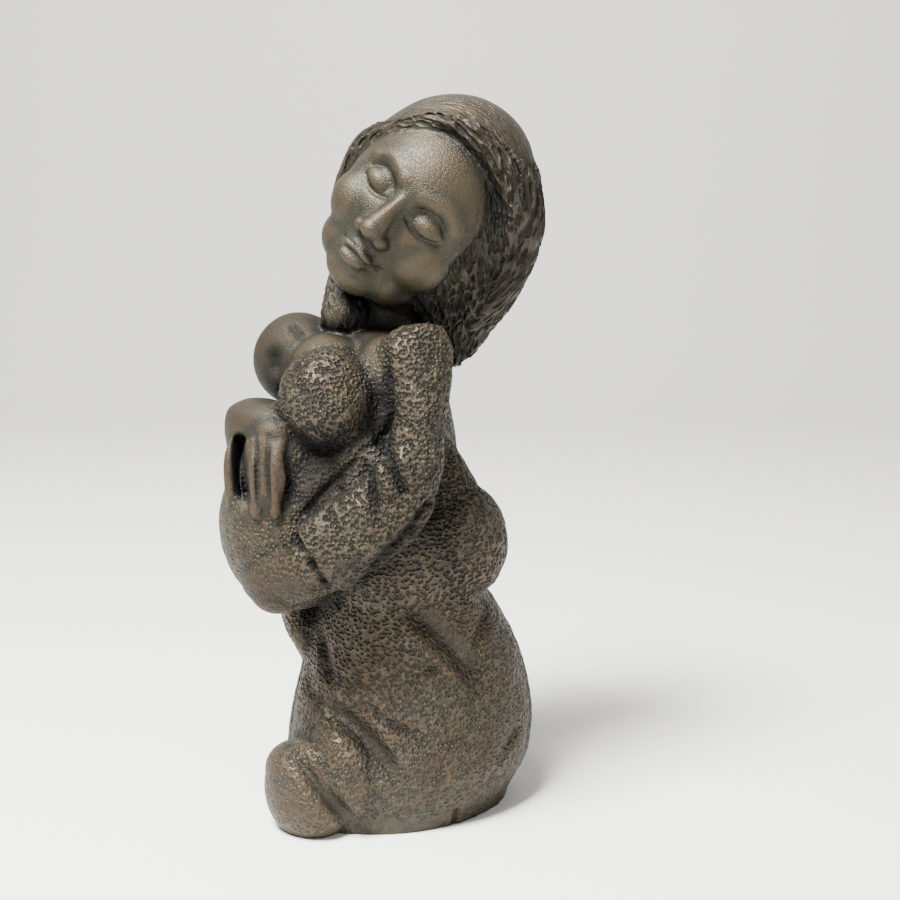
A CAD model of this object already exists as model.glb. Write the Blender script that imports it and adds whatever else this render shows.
from math import cos, radians, sin

import bmesh
import bpy
import numpy as np
from mathutils import Matrix, Vector, noise
from mathutils.bvhtree import BVHTree


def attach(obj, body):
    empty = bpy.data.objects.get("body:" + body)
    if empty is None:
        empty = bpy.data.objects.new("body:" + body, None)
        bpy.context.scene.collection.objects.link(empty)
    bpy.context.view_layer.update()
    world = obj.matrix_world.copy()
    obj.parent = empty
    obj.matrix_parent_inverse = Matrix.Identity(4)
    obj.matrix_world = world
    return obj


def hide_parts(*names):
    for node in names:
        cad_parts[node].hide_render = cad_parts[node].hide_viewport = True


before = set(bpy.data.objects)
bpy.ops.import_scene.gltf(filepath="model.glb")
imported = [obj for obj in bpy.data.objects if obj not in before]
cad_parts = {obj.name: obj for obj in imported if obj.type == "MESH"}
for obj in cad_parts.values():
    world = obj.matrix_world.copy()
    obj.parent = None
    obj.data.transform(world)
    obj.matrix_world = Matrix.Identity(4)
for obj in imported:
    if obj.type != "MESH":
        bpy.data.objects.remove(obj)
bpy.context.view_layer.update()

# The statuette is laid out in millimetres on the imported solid's own frame: her front is -Y, her left
# is +X, and she stands on the floor at Z = 0. It is built up like clay, fused, creased and then textured.
modelling = {
    'unit': 0.001,          # metres in one unit of the layout
    'head': (5, 12, 212),
    'headTurn': (48.5, -3, 43),
    'grain': 0.78,          # cell that fuses the forms
    'massRounds': 24,       # smoothing of the big masses
    'skinRounds': 7,        # smoothing of the whole skin
    'blend': 0.5,           # how far one round of smoothing goes
    'eggSides': 40,
    'eggRings': 24,
    'ringSides': 32,
    'stepsBetween': 6,      # rings made between two given ones
    'creaseSteps': 10,      # points made between two places of a crease
    'strokeSteps': 8,       # and of a stroke or a slot
    'creaseReach': 2.6,     # widths past which a crease isn't felt
    'faceFrom': 80,         # how far off a place on the face is looked for
    'sideFrom': 200,        # and a place on the figure
    'fadeOver': 9,          # strokes longer than this are fainter at their ends
    'fadeEnds': 3.5,
    'faintest': 0.25,
    'triangles': 194000,    # asked of the thinning
}
nearSide = 66                      # degrees round to her left that her near side faces
outFromSide = (0.91, -0.41, 0)     # level, out from her left arm
farOff = 99.0


# turns about Z, X and Y in degrees
def spun(z, x, y):
    return (Matrix.Rotation(radians(z), 4, 'Z') @ Matrix.Rotation(radians(x), 4, 'X')
            @ Matrix.Rotation(radians(y), 4, 'Y'))


# level directions from the figure out to a viewer on that side, and to that viewer's right
def sideOf(turned):
    a = radians(turned)
    return (sin(a), -cos(a), 0), (cos(a), sin(a), 0)


body = Matrix.Identity(4)
# on the head, X runs to her left ear, -Y ahead of the face and Z to the crown
head = Matrix.Translation(modelling['head']) @ spun(*modelling['headTurn'])

forms = []          # what each form is and where, to tell later which part of her a point is on


def egg(clay, zone, centre, radii, turn=(0, 0, 0), base=body):
    place = base @ Matrix.Translation(centre) @ spun(*turn) @ Matrix.Diagonal((*radii, 1))
    bmesh.ops.create_uvsphere(clay, u_segments=modelling['eggSides'], v_segments=modelling['eggRings'],
                              radius=1, matrix=place)
    forms.append({'zone': zone, 'kind': 'egg', 'back': np.array(place.inverted()), 'size': min(radii)})


# rows are zone, centre, half sizes and perhaps a turn; with both sides given, each is mirrored too
def eggs(clay, rows, sides=(1,), base=body):
    for side in sides:
        for zone, (x, y, z), radii, *turn in rows:
            aboutZ, aboutX, aboutY = turn[0] if turn else (0, 0, 0)
            egg(clay, zone, (x * side, y, z), radii, (aboutZ * side, aboutX, aboutY * side), base)


def curveThrough(points, steps):
    made = []
    last = len(points) - 1
    for i in range(last):
        before, start, end, after = (Vector(points[max(0, min(last, i + k))]) for k in (-1, 0, 1, 2))
        for s in range(steps):
            t = s / steps
            made.append(0.5 * (2 * start + (end - before) * t
                               + (2 * before - 5 * start + 4 * end - after) * t * t
                               + (3 * start - before - 3 * end + after) * t ** 3))
    made.append(Vector(points[last]))
    return made


# rings are x, y, z, half width, half thickness; the thickness lies towards facing
def loft(clay, zone, rings, facing=(0, 1, 0), level=False, base=body):
    form = bmesh.new()
    centres = curveThrough([r[:3] for r in rings], modelling['stepsBetween'])
    sizes = curveThrough([r[3:] for r in rings], modelling['stepsBetween'])
    loops = []
    for i, (centre, size) in enumerate(zip(centres, sizes)):
        ahead = centres[min(i + 1, len(centres) - 1)] - centres[max(i - 1, 0)]
        normal = Vector((0, 0, 1)) if level else ahead.normalized()
        across = Vector(facing).cross(normal).normalized()
        turn = Matrix((across, normal.cross(across), normal)).transposed().to_4x4()
        place = base @ Matrix.Translation(centre) @ turn @ Matrix.Diagonal((size[0], size[1], 1, 1))
        ring = bmesh.ops.create_circle(form, cap_ends=False, segments=modelling['ringSides'], radius=1,
                                       matrix=place)
        loops.append(list({e for v in ring['verts'] for e in v.link_edges}))
    for lower, upper in zip(loops, loops[1:]):
        bmesh.ops.bridge_loops(form, edges=lower + upper)
    for end in (loops[0], loops[-1]):
        bmesh.ops.edgeloop_fill(form, edges=end)
    bmesh.ops.recalc_face_normals(form, faces=form.faces)
    mesh = bpy.data.meshes.new('form')
    form.to_mesh(mesh)
    form.free()
    clay.from_mesh(mesh)
    bpy.data.meshes.remove(mesh)
    forms.append({'zone': zone, 'kind': 'level' if level else 'tube',
                  'centres': np.array([base @ c for c in centres]),
                  'sizes': np.array([tuple(s) for s in sizes])})


# a round bar with rounded ends, by x, y, z and radius
def limb(clay, zone, stations, facing=(0, 1, 0), base=body):
    loft(clay, zone, [(x, y, z, r, r) for x, y, z, r in stations], facing=facing, base=base)
    for x, y, z, r in (stations[0], stations[-1]):
        egg(clay, zone, (x, y, z), (r, r, r), base=base)


# one closed skin round everything in the clay
def fused(clay, rounds):
    mesh = bpy.data.meshes.new('clay')
    clay.to_mesh(mesh)
    clay.free()
    rough = bpy.data.objects.new('clay', mesh)
    bpy.context.scene.collection.objects.link(rough)
    skin = rough.modifiers.new('one skin', 'REMESH')
    skin.mode = 'VOXEL'
    skin.voxel_size = modelling['grain']
    blend = rough.modifiers.new('blend', 'SMOOTH')
    blend.factor = modelling['blend']
    blend.iterations = rounds
    graph = bpy.context.evaluated_depsgraph_get()
    made = bpy.data.meshes.new_from_object(rough.evaluated_get(graph))
    bpy.data.objects.remove(rough)
    return made


def surfaceOf(mesh):
    return BVHTree.FromPolygons([v.co for v in mesh.vertices], [p.vertices for p in mesh.polygons])


def placesOf(mesh):
    places = np.empty(len(mesh.vertices) * 3)
    mesh.vertices.foreach_get('co', places)
    return places.reshape(-1, 3)


def normalsOf(mesh):
    normals = np.empty(len(mesh.vertices) * 3)
    mesh.vertices.foreach_get('normal', normals)
    return normals.reshape(-1, 3)


# a long stroke is fainter towards its two ends
def fading(nearest, path):
    if np.linalg.norm(path[-1] - path[0]) < modelling['fadeOver']:
        return np.ones(len(nearest))
    t = nearest / (len(path) - 1)
    inward = np.clip(np.minimum(t, 1 - t) * modelling['fadeEnds'], 0, 1)
    return modelling['faintest'] + (1 - modelling['faintest']) * inward * inward * (3 - 2 * inward)


# places that met nothing are left out
def pathThrough(points):
    return np.array([tuple(p) for p in curveThrough([p for p in points if p], modelling['creaseSteps'])])


# presses creases into the mesh; each is its width, its depth and places on the surface
def pressed(mesh, lines, fades=True):
    places = placesOf(mesh)
    normals = normalsOf(mesh)
    for width, depth, points in lines:
        path = pathThrough(points)
        reach = width * modelling['creaseReach']
        close = np.all((places > path.min(0) - reach) & (places < path.max(0) + reach), axis=1)
        near = places[close]
        gaps = np.linalg.norm(near[:, None] - path[None], axis=2)
        cut = depth * np.exp(-(gaps.min(1) / width) ** 2)
        if fades:
            cut *= fading(gaps.argmin(1), path)
        places[close] = near - normals[close] * cut[:, None]
    mesh.vertices.foreach_set('co', places.ravel())
    mesh.update()


# a place on the face, met from straight ahead of it
def facedAt(tree, across, up):
    ahead = head.to_3x3() @ Vector((0, 1, 0))
    return tree.ray_cast(head @ Vector((across, -modelling['faceFrom'], up)), ahead)[0]


# a place on the figure, met by looking level at it from one side
def seenAt(tree, turned, across, up):
    out, right = map(Vector, sideOf(turned))
    return tree.ray_cast(right * across + out * modelling['sideFrom'] + Vector((0, 0, up)), -out)[0]


# lines with their places found on the face, or on one side of the figure
def onFace(tree, lines):
    return [(width, depth, [facedAt(tree, *p) for p in line]) for width, depth, line in lines]


def onSide(tree, turned, lines):
    return [(width, depth, [seenAt(tree, turned, *p) for p in line]) for width, depth, line in lines]


# cuts straight in from one side, however the surface lies
def slotted(mesh, turned, slot):
    places = placesOf(mesh)
    out, right = map(np.array, sideOf(turned))
    path = np.array(curveThrough([(x, z, 0) for x, z in slot['line']], modelling['strokeSteps']))
    seen = np.stack([places @ right, places[:, 2]], 1)
    gaps = np.full((len(places), len(path)), farOff)
    close = places @ out > slot['beyond']
    gaps[close] = np.linalg.norm(seen[close][:, None] - path[None, :, :2], axis=2)
    cut = slot['depth'] * np.exp(-(gaps.min(1) / slot['width']) ** 2)
    places -= out * cut[:, None]
    mesh.vertices.foreach_set('co', places.ravel())
    mesh.update()


# big masses: skirt, hips, belly, chest, neck, skull and the fall of hair
masses = {
    'skirt': [(0, -1, -6, 31, 41), (0, 0, 4, 34.5, 42.5), (0, 4, 14, 37.5, 44.5), (0, 5, 22, 38.5, 45.5),
              (0, 6, 36, 38, 44.5), (0, 6, 54, 35, 40), (0, 3, 72, 33.5, 33.5), (0, 0, 90, 31, 27)],
    'middle': (
        ('skirt', (0, -2, 90), (34, 28, 34)),
        ('belly', (0, -38.5, 105.5), (25.5, 25, 30.5)),
    ),
    'paired': (
        ('hips', (15.5, 14.5, 97), (20, 20, 22)),
        ('hips', (13, 9.5, 112), (14, 15.5, 24), (0, 18, 0)),
        ('chest', (24, -4, 158), (12, 12, 13)),
        ('chest', (25, -6, 138), (10, 13, 24)),
    ),
    'seat': (('hips', (0, 14, 97), (18, 18, 20)),),
    'chest': [(0, -4, 90, 28, 22), (0, -2.5, 112, 25, 21.5), (0, -1, 130, 24.5, 22), (0, -3.5, 150, 27, 20),
              (0, -4.5, 163, 28, 17.5), (0, -5, 171, 20, 12)],
    'fillets': (
        ('chest', (0, -24, 159), (18, 14, 11)),
        ('chest', (16, -26, 148), (15, 14, 16)),
        ('belly', (-2, -45, 127), (17, 10, 13)),
        ('belly', (8, -31, 119), (21, 18, 20)),
        ('hips', (28, -16, 114), (9, 14, 14)),
        ('sleeve', (25, -20, 128), (10, 13, 14)),
        ('hips', (-28, -15, 120), (9, 14, 14)),
        ('skirt', (17, -27, 20), (16, 13, 20)),
        ('chest', (21, -9, 158), (14, 13, 13)),
    ),
    'neck': [(0, -4, 160, 13), (2, -1, 176, 10.5), (4, 2, 192, 12)],
    'skull': (
        ('cap', (-2.5, 5, 3), (31, 31, 37)),
        ('face', (0, -9, -2), (27, 25.5, 33)),
        ('face', (0, -22.5, -27), (12, 9, 10)),
    ),
    'faceRidge': [(0, -27, 9, 6), (0, -28, -2, 6), (0, -29, -12, 7), (0, -27, -22, 8)],
    'cheeks': (
        ('face', (13, -20, -11), (11.5, 11, 12)),
        ('face', (9, -16, -24), (11, 11, 10)),
    ),
    'hairFall': [(10, 23, 226, 22, 25), (9.5, 22, 207, 26, 28), (9, 20, 194, 25, 27), (9, 19, 180, 18, 21),
                 (9.5, 19, 170, 10, 13), (10, 18.5, 162.5, 6, 7.5), (10, 18, 157, 2, 2.5)],
    'sockets': ((5, 3.4, ((-14, 0.5), (-8, 0.5))), (5, 3.4, ((8, 0.5), (14, 0.5))),
                (3, 1, ((-6, -17.5), (0, -17), (6, -17.5))), (4, 1.2, ((-8, -28), (0, -27.5), (8, -28)))),
}
clay = bmesh.new()
loft(clay, 'skirt', masses['skirt'], level=True)
eggs(clay, masses['middle'])
eggs(clay, masses['paired'], (-1, 1))
eggs(clay, masses['seat'])
loft(clay, 'chest', masses['chest'], level=True)
eggs(clay, masses['fillets'])
limb(clay, 'chest', masses['neck'])
eggs(clay, masses['skull'], base=head)
limb(clay, 'face', masses['faceRidge'], (1, 0, 0), head)
eggs(clay, masses['cheeks'], (-1, 1), head)
loft(clay, 'fall', masses['hairFall'], level=True)
bodyMasses = fused(clay, modelling['massRounds'])
pressed(bodyMasses, onFace(surfaceOf(bodyMasses), masses['sockets']), False)
print('masses:', len(bodyMasses.vertices), 'points')

# limbs, hands, face and locks
limbs = {
    'farFold': [(-8, -34, 86, 6), (-8, -34.5, 68, 6), (-9, -27, 52, 5)],
    'toesAndBreasts': (
        ('toes', (14, -38.5, 14), (17, 13.5, 18), (34, 0, 0)),
        ('toes', (10.5, -40.5, 20.5), (14, 12, 10)),
        ('toes', (-16, -28, 9.5), (13, 11, 12), (-30, 0, 0)),
        ('nearBreast', (17, -31, 150), (16.5, 16.5, 16.5)),
        ('farBreast', (-17, -29, 159.5), (16.5, 16.5, 16.5)),
        ('chest', (-15, -18, 164), (13, 12, 10)),
    ),
    'sleeve': [(27, -4, 172, 9, 6), (29.5, -4.5, 168, 12, 9), (30.5, -5, 163, 12.5, 10),
               (33, -5.5, 154, 11, 9.5), (35.5, -6.5, 141, 9, 9.5),
               (37, -9, 128.5, 10, 9.5), (37, -15, 118.5, 13, 9.5), (34.5, -25, 109.5, 13.5, 9),
               (28.5, -38, 99, 13.5, 8.5)],
    'leftHand': [(30, -36, 98, 10, 7), (25, -44, 94, 9.5, 7.5), (15, -51, 90, 9, 7.5),
                 (5, -53.5, 87.5, 7, 5.5)],
    'palm': (('leftHand', (13, -48.5, 87.5), (12, 9.5, 9.5)),),
    'rightArm': [(-29, -3, 163, 10), (-36, -3, 148, 9.5), (-37, -9, 130, 10), (-28, -26, 130, 9),
                 (-12, -42, 137, 7.5)],
    'armFacing': (0.9, 0.4, 0),
    'rightHand': [(2, -48.5, 148.5, 9, 5), (1, -50, 145, 14.5, 8.5), (1, -50.5, 138, 15.5, 9.5),
                  (0, -50, 130, 15, 8.5)],
    'handFacing': (-0.2, 0.98, 0),
    'aboutHands': (
        ('fingers', (17, -54, 126), (9.5, 2.8, 13.5), (41, 0, 0)),
        ('belly', (14, -42.3, 131), (8, 8, 12)),
        ('rightHand', (12.6, -48.3, 139.5), (8, 7, 5.5)),
    ),
    'fingers': ((4.2, -59.3, 3.4), (13, -58, 2.4), (17, -55.5, 2.7), (21.5, -50.5, 2.6)),
    # a finger's joints: outwards from its place, along the hand, height, and share of its thickness
    'joints': ((0.85, 0.93, 139, 1), (1, 1, 131, 1), (1.02, 1.01, 122, 0.95), (1.02, 1.01, 114, 0.75)),
    'nose': [(0, -29, 8, 2.8, 3.4), (0, -30.5, 2, 2.6, 3.6), (0, -33, -4, 3, 4), (0, -35.5, -9.5, 3.8, 4.4),
             (0, -35.5, -13, 4.6, 4)],
    'roll': [(-27, -4, -20, 2.2, 2.2), (-29, -9, 0, 4.8, 4.8), (-20, -17, 16, 4.2, 4.2),
             (-8, -20.5, 28.5, 4, 4.5), (8, -21, 31, 5, 5), (23, -14.5, 25.5, 7, 7), (32, -5.5, 11, 8, 8),
             (34.5, -1, -10, 8, 8), (31, 2, -31, 7, 7), (24, 9, -46, 4.5, 4.5)],
    'noseTip': (('face', (0, -37.5, -12), (3.8, 3.6, 3.2)),),
    'features': (
        ('face', (4.3, -34.5, -13.5), (2.7, 3.5, 2.5)),
        ('face', (11, -26.5, -1), (6.4, 5, 4.4), (16, 0, 0)),
        ('face', (2.7, -33.8, -21), (4.2, 2.5, 1.7), (16, 0, 10)),
    ),
    'lowerLip': (('face', (0, -33.3, -24.5), (5.2, 2.8, 2.1)),),
    'farLock': [(-12, -10, 220, 6), (-11, -5, 198, 7), (-7.5, -12, 186, 8.8), (-3, -16, 175.5, 9.2)],
}
clay = bmesh.new()
limb(clay, 'skirt', limbs['farFold'])
eggs(clay, limbs['toesAndBreasts'])
loft(clay, 'sleeve', limbs['sleeve'], outFromSide)
loft(clay, 'leftHand', limbs['leftHand'], outFromSide)
eggs(clay, limbs['palm'])
limb(clay, 'farSleeve', limbs['rightArm'], limbs['armFacing'])
loft(clay, 'rightHand', limbs['rightHand'], limbs['handFacing'], level=True)
eggs(clay, limbs['aboutHands'])
for x, y, r in limbs['fingers']:
    limb(clay, 'fingers', [(x * out, y * along, z, r * thick) for out, along, z, thick in limbs['joints']])
loft(clay, 'face', limbs['nose'], base=head)
eggs(clay, limbs['noseTip'], base=head)
eggs(clay, limbs['features'], (-1, 1), head)
eggs(clay, limbs['lowerLip'], base=head)
loft(clay, 'roll', limbs['roll'], base=head)
limb(clay, 'lock', limbs['farLock'])
clay.from_mesh(bodyMasses)
skin = fused(clay, modelling['skinRounds'])
print('skin:', len(skin.vertices), 'points')

# creases by width, depth and places; a depth below zero raises a ridge
faceCreases = (
    (0.8, 1, ((-8, -22), (-4, -22.5), (0, -22), (4, -22.5), (8, -22))),
    (0.8, 0.9, ((-16.5, -2.5), (-13, -4), (-9, -4), (-5, -2.5))),
    (0.8, 0.9, ((5, -2.5), (9, -4), (13, -4), (16.5, -2.5))),
    (2.5, -0.9, ((-18, 5), (-12.5, 8.5), (-5, 6))),          # brows
    (2.5, -0.9, ((5, 6), (12.5, 8.5), (18, 5))),
    (0.7, 0.5, ((-17, 1), (-13, 4), (-9, 4), (-5, 1.5))),
    (0.7, 0.5, ((5, 1.5), (9, 4), (13, 4), (17, 1))),
)
hairCreases = (
    (1.6, 3.4, ((-30, 8), (-25, 16), (-17, 25.5), (-8, 32.5), (2, 35.5), (12, 36), (21, 33), (29, 25.5))),
)
# hollow beside the fingers; 'beyond' keeps it to what is further out than this
slot = {
    'line': ((-50.3, 135.5), (-49.5, 129), (-48.6, 119)),
    'width': 2.3,
    'depth': 8,
    'beyond': 22,
}
# seen level from one side at a time, by degrees round to her left
creases = {
    nearSide: (
        (1.6, 3.2, ((-2, 167), (-1, 156.5), (-0.5, 147), (-1.5, 140.5), (-7, 134))),    # arm to breast
        (1.6, 2.2, ((16, 121), (12.5, 118), (4.5, 108), (-5.5, 97.5), (-16.5, 82))),    # under the arm
        (1.3, 1.8, ((-8, 135.5), (-12, 131.5), (-17, 126), (-22, 121), (-27, 115.5), (-31, 110.5))),
        (1.5, -0.8, ((-9, 129), (-14, 124), (-19, 119), (-24, 113.5), (-29, 108))),
        (1, 2, ((-30, 105), (-25.5, 99), (-21.5, 93), (-19, 84), (-19, 77))),    # cuff
        (1.2, 2.4, ((-8, 132), (-6, 124.5), (-4, 114.5))),    # elbow
        (1.2, 2.2, ((-1.5, 134), (2, 127.5), (5, 120))),
        (2.4, -2, ((-5, 132), (-2, 126), (-0.5, 119))),
        (1.6, -1.6, ((2.5, 136), (5.5, 129), (7.5, 123))),
        (2.2, 2, ((-27, 70), (-25.5, 63), (-23.5, 57), (-21.5, 50.5))),    # skirt folds
        (3.4, 3.2, ((-30, 47), (-19.5, 42), (-11.5, 37), (-3.5, 28.5), (3, 17))),
        (1.8, 1.7, ((-14, 46.5), (-8, 44.5), (-2.5, 41), (5, 37.5), (12, 34))),
        (4.6, 3.4, ((5, 81), (12.5, 74.5), (19, 67), (25, 59), (30, 50))),    # over the thigh
        (1.2, 1.1, ((9, 80), (16, 73), (22.5, 65), (28, 57.5))),
        (2.4, -1.4, ((1, 78), (6.5, 70.5), (13, 63.5), (18.5, 57), (23, 51))),
        (2.8, 1.8, ((32, 76), (29.5, 66), (28, 58), (28, 48))),
        (1.6, 1.2, ((6, 53.5), (10.5, 56.5), (15.5, 58.5))),
        (3, 1.4, ((36.5, 22), (41, 27.5), (44, 32))),
        (2.6, 2.8, ((-36, 30), (-30, 26), (-24.5, 19.5), (-18.5, 12), (-11.5, 3))),    # hem over toes
        (1.2, 1.4, ((20.5, 0.5), (21.5, 5.5))),
        (0.9, 1.7, ((-44, 139), (-43.5, 128.5), (-43.5, 116.5))),    # between fingers
        (0.9, 1.7, ((-39.5, 139.5), (-40, 127), (-39.5, 116.5))),
        (3.6, 2.8, ((-41.6, 161.5), (-41.3, 159))),    # nipple
        (1.8, 0.9, ((-34, 171.5), (-31.5, 169))),
    ),
    0: (
        (2.4, 1.8, ((-6, 84), (-8, 66), (-9, 46), (-7, 26), (-5, 8))),
        (2.2, 1.8, ((-21, 66), (-23, 46), (-21, 28))),
    ),
    -66: (
        (1.5, 1.6, ((6, 120), (16, 112), (28, 112))),
        (1.1, 1.2, ((8, 136), (3, 128), (4, 120))),
        (2.4, 2.2, ((10, 74), (4, 60), (-4, 48), (-12, 40))),
        (2.6, 2.2, ((24, 60), (16, 44), (6, 30), (-4, 22))),
    ),
    180: (
        (3, 2.4, ((0, 112), (0, 100), (0, 86))),
        (3.4, 1.8, ((-24, 80), (-14, 76), (0, 80), (14, 76), (24, 80))),
        (3, 2.2, ((-12, 68), (-14, 50), (-19, 30), (-22, 12))),
        (3, 2.2, ((4, 66), (5, 48), (3, 30), (4, 12))),
        (3, 2.2, ((18, 66), (20, 48), (25, 30), (27, 14))),
        (2.6, 1.4, ((0, 160), (0, 144), (0, 128))),
    ),
}
tree = surfaceOf(skin)
pressed(skin, onFace(tree, faceCreases), False)
grooves = onFace(tree, hairCreases)
pressed(skin, grooves)
for turned, lines in creases.items():
    pressed(skin, onSide(tree, turned, lines))
slotted(skin, nearSide, slot)
print('creases cut')


def localTo(back, places):
    return places @ back[:3, :3].T + back[:3, 3]


# about how far each point is from a form
def awayFrom(form, places):
    if form['kind'] == 'egg':
        return (np.linalg.norm(localTo(form['back'], places), axis=1) - 1) * form['size']
    centres, sizes = form['centres'], form['sizes']
    if form['kind'] == 'level':
        order = np.argsort(centres[:, 2])
        heights = centres[order, 2]
        x, y, a, b = (np.interp(places[:, 2], heights, column[order])
                      for column in (centres[:, 0], centres[:, 1], sizes[:, 0], sizes[:, 1]))
        ring = (np.hypot((places[:, 0] - x) / a, (places[:, 1] - y) / b) - 1) * np.minimum(a, b)
        return np.maximum(ring, np.maximum(places[:, 2] - heights[-1], heights[0] - places[:, 2]))
    gaps = np.linalg.norm(places[:, None] - centres[None], axis=2) - sizes.mean(1)[None]
    return gaps.min(1)


# each point's share in each part of her, 1 in all
def zonesOf(places, softness=1.1):
    names = sorted({f['zone'] for f in forms})
    away = {name: np.full(len(places), farOff) for name in names}
    for form in forms:
        away[form['zone']] = np.minimum(away[form['zone']], awayFrom(form, places))
    nearest = np.min([away[n] for n in names], axis=0)
    weights = {n: np.exp(-(away[n] - nearest) / softness) for n in names}
    total = sum(weights.values())
    return {n: weights[n] / total for n in names}


# one mask out of several parts of her, each with its share
def weighed(zones, shares):
    return sum(share * zones[name] for name, share in shares.items())


# noise at each place; another seed gives another pattern
def field(places, size, seed):
    shift = Vector([seed * step for step in relief['seedSteps']])
    return np.array([noise.noise(Vector(p) / size + shift) for p in places])


# relief in the wax: slow lumps everywhere, strands and knobs in the hair, dimples in the cloth
relief = {
    'seedSteps': (17.3, 5.1, 9.7),
    'lumps': 0.22,          # hand-worked unevenness
    'lumpSize': 13,
    'lumpsLostOnFace': 0.8,
    'headRadius': 28,       # turns an angle round the head into a length
    'stretch': 0.3,         # how much longer than wide the strands and knobs are
    'aside': 40,            # keeps the pattern of hanging hair apart from the combed one
    'rollEdge': ((-30, -20, -8, 8, 20), (32, 28.5, 33, 36, farOff)),    # across, and out from the middle
    'edgeSoft': 1.5,
    'leastShare': 0.05,     # below it a part isn't worked
    'knobDepth': 3,
    'knobSize': 3,
    'knobLevel': 0.42,
    'knobRange': (-0.25, 0.1),
    'strandDepth': 0.5,
    'strandSize': 2,
    'strandPull': 0.6,
    'strandSharp': 1.6,
    'strandsOn': {'cap': 0.35, 'lock': 2.6},
    'strandsInTangle': 0.6,
    'roughDepth': 0.5,      # coarse hammering where it is textured
    'roughSize': 5,
    'dimpleDepth': 0.5,
    'dimpleSize': 2.7,
    'dimpleWidth': 0.65,    # in cells
    'worked': {'sleeve': 1, 'farSleeve': 1, 'nearBreast': 0.8, 'hips': 0.8, 'skirt': 0.5, 'belly': 0.4},
}
headBack = np.array(head.inverted())


# the way the hair runs: two places across its strands, and one along them
def strandPlaces(places, hanging):
    local = localTo(headBack, places)
    out = np.hypot(local[:, 0], local[:, 2])
    along = np.arctan2(local[:, 0], local[:, 2]) * relief['headRadius']
    combed = np.stack([out, local[:, 1], along * relief['stretch']], 1)
    straight = places * np.array([1, 1, relief['stretch']]) + relief['aside']
    return np.where(hanging[:, None] > 0.5, straight, combed)


# on the far side of the brow only the inner edge of the roll is tangled,
# and the rest of it is combed with the cap
def tangledOn(places, zones):
    local = localTo(headBack, places)
    edge = np.interp(local[:, 0], *relief['rollEdge'])
    inner = np.clip((edge - np.hypot(local[:, 0], local[:, 2])) / relief['edgeSoft'] + 0.5, 0, 1)
    return zones['roll'] * inner + zones['fall']


places = placesOf(skin)
normals = normalsOf(skin)
zones = zonesOf(places)
plain = 1 - relief['lumpsLostOnFace'] * zones['face']
shift = relief['lumps'] * plain * field(places, relief['lumpSize'], 1)
rough = tangledOn(places, zones)
onHair = zones['roll'] + zones['fall'] + zones['cap'] + zones['lock'] > relief['leastShare']
combed = strandPlaces(places[onHair], (zones['fall'] + zones['lock'])[onHair])
knobs = 0.5 - np.abs(field(combed, relief['knobSize'], 2))
knobs = np.clip(knobs - relief['knobLevel'], *relief['knobRange'])
pulled = combed * np.array([1, 1, relief['strandPull']])
strands = 0.5 - np.abs(field(pulled, relief['strandSize'], 3)) * relief['strandSharp']
stranded = weighed(zones, relief['strandsOn']) + relief['strandsInTangle'] * rough
shift[onHair] += relief['knobDepth'] * rough[onHair] * knobs
shift[onHair] += relief['strandDepth'] * stranded[onHair] * strands
tooled = weighed(zones, relief['worked'])
worked = tooled > relief['leastShare']
shift[worked] += relief['roughDepth'] * tooled[worked] * field(places[worked], relief['roughSize'], 4)
away = np.array([noise.voronoi(Vector(p) / relief['dimpleSize'])[0][0] for p in places[worked]])
shift[worked] -= relief['dimpleDepth'] * tooled[worked] * np.clip(1 - away / relief['dimpleWidth'], 0, 1)
places += normals * shift[:, None]
skin.vertices.foreach_set('co', places.ravel())
skin.update()
print('relief made')

# thinned where it is plain, and cut flat below
dense = bpy.data.objects.new('dense', skin)
bpy.context.scene.collection.objects.link(dense)
thin = dense.modifiers.new('thin', 'DECIMATE')
thin.ratio = modelling['triangles'] / (2 * len(skin.polygons))
thin.use_collapse_triangulate = True
graph = bpy.context.evaluated_depsgraph_get()
cast = bpy.data.meshes.new_from_object(dense.evaluated_get(graph))
bpy.data.objects.remove(dense)
form = bmesh.new()
form.from_mesh(cast)
everything = form.verts[:] + form.edges[:] + form.faces[:]
cut = bmesh.ops.bisect_plane(form, geom=everything, plane_co=(0, 0, 0), plane_no=(0, 0, -1),
                             clear_outer=True)
rim = [e for e in cut['geom_cut'] if isinstance(e, bmesh.types.BMEdge)]
bmesh.ops.edgeloop_fill(form, edges=rim)
bmesh.ops.triangulate(form, faces=form.faces)
# crumbs and specks of inner void that the fusing leaves loose are dropped
joined, front = set(), [max(form.verts, key=lambda v: v.co.z)]
while front:
    v = front.pop()
    if v not in joined:
        joined.add(v)
        front += [e.other_vert(v) for e in v.link_edges]
bmesh.ops.delete(form, geom=[v for v in form.verts if v not in joined], context='VERTS')
form.to_mesh(cast)
form.free()
cast.name = 'castFigure'
print('cast:', len(cast.polygons), 'triangles')

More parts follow.
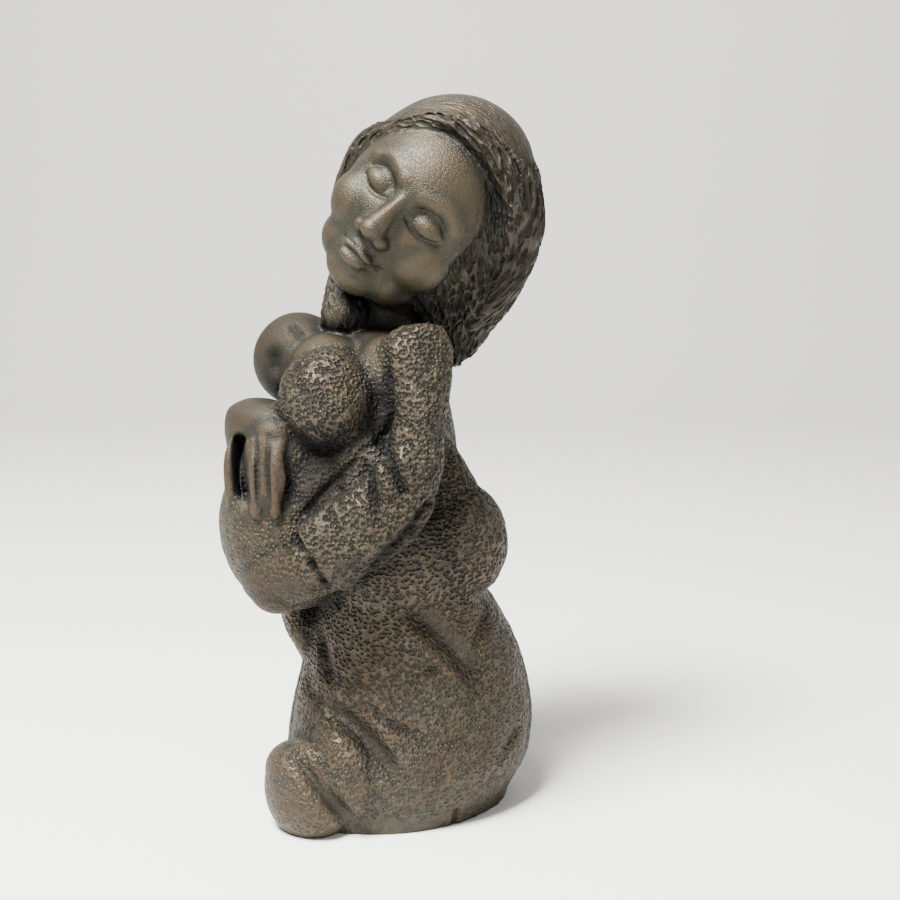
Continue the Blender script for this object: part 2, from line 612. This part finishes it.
# masks for the patina, kept as attributes on the mesh
masks = {
    'rays': 14,
    'rayReach': 22,
    'raySpread': 0.92,      # 1 would spread the rays over the whole half ball
    'rayLift': 0.25,        # off the surface
    'nearHit': 0.6,         # most that a ray counts for when it meets something
    'openRounds': 2,
    'ridgeRounds': 4,
    'ridgeGain': 3,
    'knuckleGain': 12,
    'pitted': {'nearBreast': 1, 'sleeve': 1, 'farSleeve': 1, 'hips': 0.95, 'belly': 0.4, 'toes': 0.3,
               'leftHand': 0.3},
    'pittedBack': (6, 0.9),             # behind, the chest gets it over this depth, up to this share
    'pittedSkirt': (0.3, 0.35, 12, 45),     # at the hem, more above it, from this height, over this height
    'copper': {'roll': 0.25, 'hips': 0.3, 'leftHand': 0.35, 'toes': 0.25, 'skirt': 0.25},
    'copperOnKnuckles': 0.9,
    'calm': {'face': 1, 'farBreast': 1, 'rightHand': 1, 'leftHand': 0.6, 'chest': 1, 'cap': 0.5,
             'belly': 0.4},
    'darkened': {'leftHand': 0.55, 'rightHand': 0.5, 'farBreast': 0.7, 'fingers': 0.35},
    'nearHalf': 5,          # strokes stay on what is further towards the viewer than this
    # as wide as this, along these places seen from her near side
    'bare': (
        (4.4, ((6, 80), (13, 73.5), (19.5, 66), (25, 59), (29.5, 51.5))),
        (3.4, ((-29, 46), (-19, 42), (-11, 37), (-3.5, 28.5), (2.5, 18))),
        (2.6, ((-27, 70), (-25.5, 63), (-23.5, 57), (-21.5, 50.5))),
        (3.4, ((-33, 68), (-35, 58), (-36, 50))),
        (3, ((-31, 26), (-25, 19.5), (-19, 11.5), (-12, 3.5))),
        (6, ((-20, 1), (10, 0), (24, 1))),
    ),
    'dark': (
        (7, ((-33, 130), (-27, 128), (-20, 127), (-24, 121), (-29, 115))),
        (3, ((-38, 144), (-31, 137), (-16, 134.5), (-6, 141), (-2, 149))),
        (2.6, ((-1, 163), (-0.5, 156), (-0.5, 147), (-2, 140))),
        (3.4, ((12.5, 118), (4.5, 108), (-5.5, 97.5), (-16.5, 82))),
        (3.4, ((-41.6, 161.5), (-41.3, 159))),
        (1.8, ((-33.5, 171.5), (-31.5, 169.5))),
        (1.1, ((-30, 105), (-25.5, 99), (-21.5, 93), (-19, 84), (-19, 77))),
        (3.5, ((-33, 78), (-26, 78), (-17, 81))),
        (2.4, ((-9, 133), (-5.5, 126), (-4, 115))),
        (2, ((-1, 134), (2, 128), (5, 121))),
    ),
}


def relaxed(values, edges, rounds):
    count = np.bincount(edges.ravel(), minlength=len(values)).astype(float)
    for _ in range(rounds):
        total = np.zeros_like(values)
        for k in range(values.shape[1]):
            total[:, k] = (np.bincount(edges[:, 0], values[edges[:, 1], k], len(values))
                           + np.bincount(edges[:, 1], values[edges[:, 0], k], len(values)))
        values = 0.5 * values + 0.5 * total / count[:, None]
    return values


# how near each point is to strokes drawn on her near side
def strokesOn(places, strokes):
    towards, right = map(np.array, sideOf(nearSide))
    across = places @ right
    found = np.zeros(len(places))
    for width, line in strokes:
        path = np.array(curveThrough([(x, z, 0) for x, z in line], modelling['strokeSteps']))
        gaps = np.hypot(across[:, None] - path[None, :, 0], places[:, None, 2] - path[None, :, 1])
        stroke = np.exp(-(gaps.min(1) / width) ** 2) * fading(gaps.argmin(1), path)
        found = np.maximum(found, stroke * (places @ towards > masks['nearHalf']))
    return found


# how much of the room each point sees
def openness(mesh, rays, reach):
    tree = surfaceOf(mesh)
    goldenTurn = 2.39996
    around = []
    for i in range(rays):
        z = 1 - (i + 0.5) / rays * masks['raySpread']
        a = i * goldenTurn
        around.append(Vector((cos(a) * (1 - z * z) ** 0.5, sin(a) * (1 - z * z) ** 0.5, z)))
    opened = np.empty(len(mesh.vertices))
    for i, v in enumerate(mesh.vertices):
        turn = v.normal.to_track_quat('Z', 'Y')
        start = v.co + v.normal * masks['rayLift']
        free = 0
        for ray in around:
            hit = tree.ray_cast(start, turn @ ray, reach)
            free += 1 if hit[3] is None else hit[3] / reach * masks['nearHit']
        opened[i] = free / rays
    return opened


def kept(mesh, name, values):
    made = mesh.attributes.new(name, 'FLOAT', 'POINT')
    made.data.foreach_set('value', np.clip(values, 0, 1).astype(np.float32))


places = placesOf(cast)
normals = normalsOf(cast)
edges = np.empty(len(cast.edges) * 2, dtype=np.int32)
cast.edges.foreach_get('vertices', edges)
edges = edges.reshape(-1, 2)
zones = zonesOf(places)
soft = relaxed(places.copy(), edges, masks['ridgeRounds'])
ridge = ((places - soft) * normals).sum(1)
opened = openness(cast, masks['rays'], masks['rayReach'])
opened = relaxed(opened[:, None], edges, masks['openRounds'])[:, 0]
kept(cast, 'opened', opened)
kept(cast, 'ridge', 0.5 + ridge * masks['ridgeGain'])
depth, most = masks['pittedBack']
atHem, above, low, height = masks['pittedSkirt']
pitted = weighed(zones, masks['pitted'])
pitted += zones['chest'] * np.clip(places[:, 1] / depth, 0, most)
pitted += zones['skirt'] * (atHem + above * np.clip((places[:, 2] - low) / height, 0, 1))
kept(cast, 'pitted', pitted)
tangled = tangledOn(places, zones)
kept(cast, 'tangled', tangled)
kept(cast, 'combed', zones['cap'] + zones['lock'] + zones['roll'] - np.minimum(tangled, zones['roll']))
kept(cast, 'bare', strokesOn(places, masks['bare']))
dark = np.maximum(strokesOn(places, masks['dark']), weighed(zones, masks['darkened']))
for width, _, points in grooves:
    path = pathThrough(points)
    away = np.array([np.linalg.norm(path - p, axis=1).min() for p in places])
    dark = np.maximum(dark, np.exp(-(away / width) ** 2))
kept(cast, 'dark', dark)
knuckles = zones['fingers'] * np.clip(ridge * masks['knuckleGain'], 0, 1)
kept(cast, 'copper', masks['copperOnKnuckles'] * knuckles + weighed(zones, masks['copper']))
kept(cast, 'calm', weighed(zones, masks['calm']))
strands = cast.attributes.new('strands', 'FLOAT_VECTOR', 'POINT')
run = strandPlaces(places, zones['fall'] + zones['lock']) * modelling['unit']
strands.data.foreach_set('vector', run.astype(np.float32).ravel())
print('masks made')

# patinated bronze; lengths are in metres
bronze = {
    'deep': (0.0016, 0.0014, 0.0011, 1),
    'brown': (0.0176, 0.0138, 0.0082, 1),
    'green': (0.0280, 0.0262, 0.0160, 1),
    'blue': (0.0235, 0.0245, 0.0205, 1),
    'copper': (0.125, 0.074, 0.036, 1),
    'worn': (0.160, 0.128, 0.084, 1),
    # each kind of pit by its size and how far its places wander
    'coarse': (0.0015, 0.0014),
    'fine': (0.0007, 0.0006),
    'knots': (0.0019, 0.0012),
    'pitDepth': 0.0018,
    'pitRange': (0.62, 0.24),       # from its rim to its floor
    'pitRandomness': 0.8,
    # noises by scale and detail
    'wobble': (320.0, 2.0),
    'cloud': (60.0, 4.0),
    'slow': (24.0, 3.0),
    'patch': (95.0, 4.0),
    'speck': (800.0, 3.0),
    'hair': (900.0, 2.0),
    # a mask runs from none to all over these, or from the third value to the fourth
    'strengthRange': (0.25, 0.6, 0.55, 1.0),
    'bareRange': (0.1, 0.8, 1.0, 0.2),
    'greenRange': (0.35, 0.65),
    'blueRange': (0.45, 0.62),
    'ridgeRange': (0.5, 0.85),
    'copperRange': (0.35, 0.6),
    'rimRange': (0.4, 0.65),
    'patchRange': (0.48, 0.66),
    'openRange': (0.40, 0.92),      # a recess is near black
    # most that each layer covers of what is below it
    'blueClouds': 0.6,
    'greenCalm': 0.5,
    'blueBare': 0.4,
    'copperWear': 0.42,
    'ridgeWear': 0.4,
    'wornRims': 0.22,
    'patches': 0.38,
    'hollows': 0.55,
    'tangles': 0.35,
    'darkPlaces': 0.7,
    'metallic': 0.5,
    'specular': 0.32,
    'roughRange': (0.3, 0.7, 0.43, 0.57),
    'roughHollows': 0.3,
    # heights beside that of the coarse pits
    'knotHeight': 0.9,
    'hairHeight': 0.7,
    'fineHeight': 0.04,
}


def socketsOf(group, inputs, outputs):
    for kind, name, value in inputs:
        made = group.interface.new_socket(name, in_out='INPUT', socket_type=kind)
        if value is not None:
            made.default_value = value
    for kind, name in outputs:
        group.interface.new_socket(name, in_out='OUTPUT', socket_type=kind)
    return group.nodes.new('NodeGroupInput'), group.nodes.new('NodeGroupOutput')


def nodeIn(tree, kind, values=None, **settings):
    made = tree.nodes.new(kind)
    for name, value in settings.items():
        setattr(made, name, value)
    for name, value in (values or {}).items():
        if isinstance(value, bpy.types.NodeSocket):
            tree.links.new(value, made.inputs[name])
        else:
            made.inputs[name].default_value = value
    return made


def mathIn(tree, operation, a, b=0.0, clamp=False):
    return nodeIn(tree, 'ShaderNodeMath', {0: a, 1: b}, operation=operation, use_clamp=clamp).outputs[0]


def times(tree, a, b):
    return mathIn(tree, 'MULTIPLY', a, b)


def rangeIn(tree, value, low, high, toLow=0.0, toHigh=1.0):
    return nodeIn(tree, 'ShaderNodeMapRange', {'Value': value, 'From Min': low, 'From Max': high,
                                               'To Min': toLow, 'To Max': toHigh},
                  interpolation_type='SMOOTHSTEP').outputs['Result']


def mixIn(tree, amount, a, b):
    return nodeIn(tree, 'ShaderNodeMix', {0: amount, 6: a, 7: b}, data_type='RGBA').outputs[2]


def noiseIn(tree, place, scale, detail, socket='Fac'):
    made = nodeIn(tree, 'ShaderNodeTexNoise', {'Vector': place, 'Scale': scale, 'Detail': detail})
    return made.outputs[socket]


# pits pressed side by side with a round tool, which leave a net of ridges between them
def pitsGroup():
    group = bpy.data.node_groups.new('tool pits', 'ShaderNodeTree')
    start, end = socketsOf(group, [('NodeSocketVector', 'Place', None), ('NodeSocketFloat', 'Size', 0.002),
                                   ('NodeSocketFloat', 'Wander', 0.0005)],
                           [('NodeSocketFloat', 'Height'), ('NodeSocketFloat', 'Pit')])
    wobble = noiseIn(group, start.outputs['Place'], *bronze['wobble'], 'Color')
    away = nodeIn(group, 'ShaderNodeVectorMath', {0: wobble, 1: (0.5, 0.5, 0.5)}, operation='SUBTRACT')
    pushed = nodeIn(group, 'ShaderNodeVectorMath', {0: away.outputs[0], 'Scale': start.outputs['Wander']},
                    operation='SCALE')
    moved = nodeIn(group, 'ShaderNodeVectorMath', {0: start.outputs['Place'], 1: pushed.outputs[0]},
                   operation='ADD')
    scale = mathIn(group, 'DIVIDE', 1.0, start.outputs['Size'])
    cells = nodeIn(group, 'ShaderNodeTexVoronoi', {'Vector': moved.outputs[0], 'Scale': scale,
                                                   'Randomness': bronze['pitRandomness']}, feature='F1')
    pit = rangeIn(group, cells.outputs['Distance'], *bronze['pitRange'])
    group.links.new(mathIn(group, 'SUBTRACT', 1.0, pit), end.inputs['Height'])
    group.links.new(pit, end.inputs['Pit'])
    return group


def pitsIn(tree, group, place, size, wander):
    made = nodeIn(tree, 'ShaderNodeGroup', node_tree=group)
    tree.links.new(place, made.inputs['Place'])
    made.inputs['Size'].default_value = size
    made.inputs['Wander'].default_value = wander
    return made


def castBronze():
    made = bpy.data.materials.new('cast bronze')
    made.use_nodes = True
    tree = made.node_tree
    metal = tree.nodes['Principled BSDF']
    place = nodeIn(tree, 'ShaderNodeTexCoord').outputs['Object']
    marks = {n: nodeIn(tree, 'ShaderNodeAttribute', attribute_name=n).outputs['Fac']
             for n in ('opened', 'ridge', 'pitted', 'tangled', 'combed', 'copper', 'calm', 'bare', 'dark')}
    strands = nodeIn(tree, 'ShaderNodeAttribute', attribute_name='strands').outputs['Vector']
    pits = pitsGroup()
    coarse = pitsIn(tree, pits, place, *bronze['coarse'])
    fine = pitsIn(tree, pits, place, *bronze['fine'])
    knots = pitsIn(tree, pits, strands, *bronze['knots'])
    cloud = noiseIn(tree, place, *bronze['cloud'])
    slow = noiseIn(tree, place, *bronze['slow'])
    speck = noiseIn(tree, place, *bronze['speck'])
    patch = noiseIn(tree, place, *bronze['patch'])
    hairs = noiseIn(tree, strands, *bronze['hair'])

    # the textured parts differ in strength from place to place
    strength = times(tree, marks['pitted'], rangeIn(tree, cloud, *bronze['strengthRange']))
    strength = times(tree, strength, rangeIn(tree, marks['bare'], *bronze['bareRange']))
    pit = times(tree, coarse.outputs['Pit'], strength)
    knot = times(tree, knots.outputs['Pit'], marks['tangled'])
    hollow = mathIn(tree, 'MAXIMUM', pit, knot)
    opened = rangeIn(tree, marks['opened'], *bronze['openRange'])
    raised = times(tree, rangeIn(tree, marks['ridge'], *bronze['ridgeRange']), opened)
    worn = times(tree, raised, bronze['ridgeWear'])
    coppery = times(tree, marks['copper'], rangeIn(tree, speck, *bronze['copperRange']))
    wear = mathIn(tree, 'ADD', coppery, worn, clamp=True)
    rims = mathIn(tree, 'SUBTRACT', strength, pit, clamp=True)
    rims = times(tree, rims, rangeIn(tree, speck, *bronze['rimRange']))
    patches = times(tree, rangeIn(tree, patch, *bronze['patchRange']), marks['pitted'])

    # layers laid over each other; open smooth metal is greener, and recesses and pits stay near black
    greener = rangeIn(tree, cloud, *bronze['greenRange'])
    base = mixIn(tree, greener, bronze['brown'], bronze['green'])
    for where, most, colour in (
            (rangeIn(tree, slow, *bronze['blueRange']), 'blueClouds', 'blue'),
            (marks['calm'], 'greenCalm', 'green'),
            (marks['bare'], 'blueBare', 'blue'),
            (wear, 'copperWear', 'copper'),
            (rims, 'wornRims', 'worn'),
            (patches, 'patches', 'deep'),
            (hollow, 'hollows', 'deep'),
            (marks['tangled'], 'tangles', 'deep'),
            (marks['dark'], 'darkPlaces', 'deep')):
        base = mixIn(tree, times(tree, where, bronze[most]), base, bronze[colour])
    base = mixIn(tree, opened, bronze['deep'], base)
    tree.links.new(base, metal.inputs['Base Color'])
    metal.inputs['Metallic'].default_value = bronze['metallic']
    metal.inputs['Specular IOR Level'].default_value = bronze['specular']
    dull = times(tree, mathIn(tree, 'MAXIMUM', hollow, marks['dark']), bronze['roughHollows'])
    rough = mathIn(tree, 'ADD', rangeIn(tree, speck, *bronze['roughRange']), dull)
    tree.links.new(rough, metal.inputs['Roughness'])

    height = times(tree, coarse.outputs['Height'], strength)
    for added, share in ((times(tree, knots.outputs['Height'], marks['tangled']), 'knotHeight'),
                         (times(tree, hairs, marks['combed']), 'hairHeight'),
                         (fine.outputs['Height'], 'fineHeight')):
        height = mathIn(tree, 'ADD', height, times(tree, added, bronze[share]))
    bump = nodeIn(tree, 'ShaderNodeBump', {'Height': height, 'Distance': bronze['pitDepth'],
                                           'Strength': 1.0})
    tree.links.new(bump.outputs['Normal'], metal.inputs['Normal'])
    return made


cast.transform(Matrix.Scale(modelling['unit'], 4))
cast.shade_smooth()
cast.materials.clear()
cast.materials.append(castBronze())
figure = bpy.data.objects.new('castFigure', cast)
bpy.context.scene.collection.objects.link(figure)
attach(figure, 'root')
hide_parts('figure')
print('figure dressed')

# floor that sweeps up behind, lights and camera; lengths are in metres
studio = {
    'paper': (0.85, 0.84, 0.805, 1),
    'paperRough': 0.75,
    'paperFront': 1.6,       # how far it comes towards the camera
    'paperBack': -0.9,       # where it begins to rise
    'paperBend': 0.5,
    'bendSteps': 12,
    'paperTop': 2.2,
    'paperWidth': 3.6,
    'facing': 66,            # degrees round to her left that the camera stands at
    'camera': (0.500, 0.019, 0.215),      # out from the axis, to the right, and up
    'down': 9.88,
    'lens': 57.8,
    'sensor': 36,
    'nearest': 0.01,         # that the camera still shows
    'key': (0.34, -0.28, 0.96),
    'keySize': 0.34,
    'keyPower': 62,
    'fill': (0.9, 0.8, 0.45),
    'fillSize': 0.7,
    'fillPower': 4,
    'lightsAim': (0, 0, 0.13),
    'room': 0.5,
    'roomColour': (0.93, 0.94, 0.96, 1),
}
towards, rightOf = map(Vector, sideOf(studio['facing']))


def inStudio(out, along, up):
    return towards * out + rightOf * along + Vector((0, 0, up))


def sweep():
    form = bmesh.new()
    back, bend = studio['paperBack'], studio['paperBend']
    profile = [(studio['paperFront'], 0), (back, 0)]
    for i in range(1, studio['bendSteps'] + 1):
        a = radians(90 * i / studio['bendSteps'])
        profile.append((back - bend * sin(a), bend - bend * cos(a)))
    profile.append((back - bend, studio['paperTop']))
    line = [form.verts.new(inStudio(out, -studio['paperWidth'] / 2, up)) for out, up in profile]
    joined = [form.edges.new(pair) for pair in zip(line, line[1:])]
    drawn = bmesh.ops.extrude_edge_only(form, edges=joined)
    made = [v for v in drawn['geom'] if isinstance(v, bmesh.types.BMVert)]
    bmesh.ops.translate(form, verts=made, vec=rightOf * studio['paperWidth'])
    bmesh.ops.recalc_face_normals(form, faces=form.faces)
    mesh = bpy.data.meshes.new('paperSweep')
    form.to_mesh(mesh)
    form.free()
    mesh.shade_smooth()
    paper = bpy.data.materials.new('white paper')
    paper.use_nodes = True
    card = paper.node_tree.nodes['Principled BSDF']
    card.inputs['Base Color'].default_value = studio['paper']
    card.inputs['Roughness'].default_value = studio['paperRough']
    mesh.materials.append(paper)
    made = bpy.data.objects.new('paperSweep', mesh)
    bpy.context.scene.collection.objects.link(made)


def panelLight(name):
    lamp = bpy.data.lights.new(name, 'AREA')
    lamp.shape = 'RECTANGLE'
    lamp.size = lamp.size_y = studio[name + 'Size']
    lamp.energy = studio[name + 'Power']
    made = bpy.data.objects.new(name, lamp)
    made.location = inStudio(*studio[name])
    made.rotation_mode = 'QUATERNION'
    made.rotation_quaternion = (made.location - Vector(studio['lightsAim'])).to_track_quat('Z', 'Y')
    bpy.context.scene.collection.objects.link(made)


sweep()
panelLight('key')
panelLight('fill')
world = bpy.data.worlds.new('room')
world.use_nodes = True
glow = world.node_tree.nodes['Background']
glow.inputs['Color'].default_value = studio['roomColour']
glow.inputs['Strength'].default_value = studio['room']
bpy.context.scene.world = world

lens = bpy.data.cameras.new('camera')
lens.lens = studio['lens']
lens.sensor_width = studio['sensor']
lens.clip_start = studio['nearest']
camera = bpy.data.objects.new('camera', lens)
camera.location = inStudio(*studio['camera'])
look = -towards * cos(radians(studio['down'])) - Vector((0, 0, sin(radians(studio['down']))))
camera.rotation_mode = 'QUATERNION'
camera.rotation_quaternion = look.to_track_quat('-Z', 'Y')
bpy.context.scene.collection.objects.link(camera)
bpy.context.scene.camera = camera
print('studio set')
